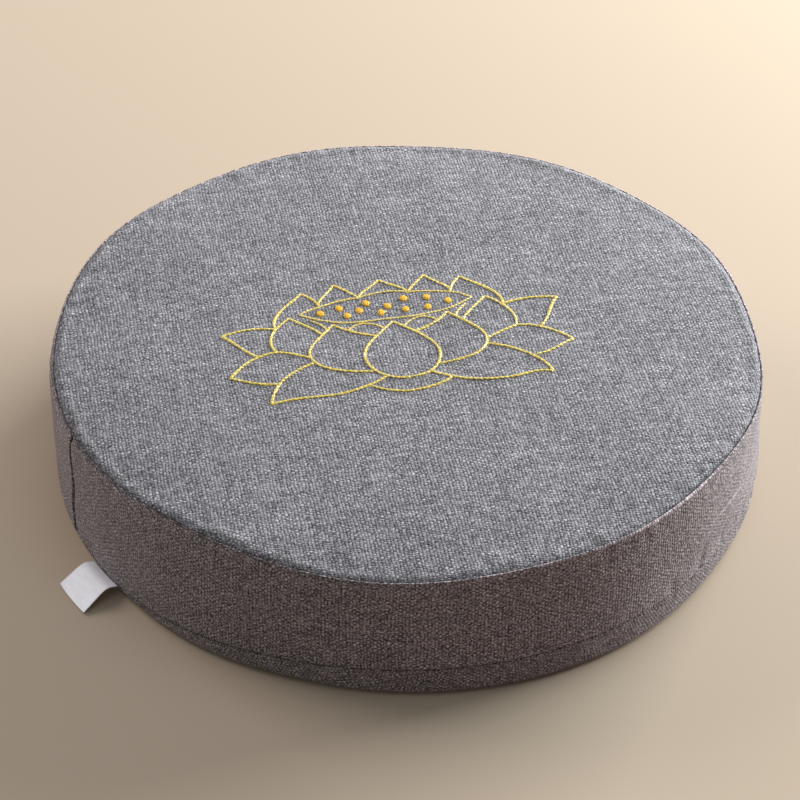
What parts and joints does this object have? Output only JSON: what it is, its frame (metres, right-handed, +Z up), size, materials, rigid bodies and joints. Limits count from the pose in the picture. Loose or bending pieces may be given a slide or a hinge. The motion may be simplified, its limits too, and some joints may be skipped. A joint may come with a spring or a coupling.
{
  "type": "round boxed meditation cushion",
  "caption": "Flat round boxed floor cushion in grey slub linen-look cloth with a yellow line lotus stitched on its top and a blank white tape label in its lower seam.",
  "frame": {"origin": "bottom centre of the cushion, on the surface it rests on", "axes": "+Z up; +X to the right of the motif on the top, which reads upright from -Y"},
  "size_m": [0.4141, 0.4054, 0.0861],
  "materials": {
    "top_cloth": "plain-woven slub linen look, cool mid-grey with pale threads",
    "band_cloth": "the same slub linen look cloth, run round the wall",
    "under_cloth": "the same slub linen look cloth",
    "label_tape": "smooth white woven tape",
    "yellow_thread": "satin embroidery thread, yellow",
    "orange_thread": "satin embroidery thread, orange yellow"
  },
  "bodies": {
    "root": {"top_panel": "top_cloth", "side_band": "band_cloth", "bottom_panel": "under_cloth", "care_label": "label_tape"}
  },
  "joints": []
}
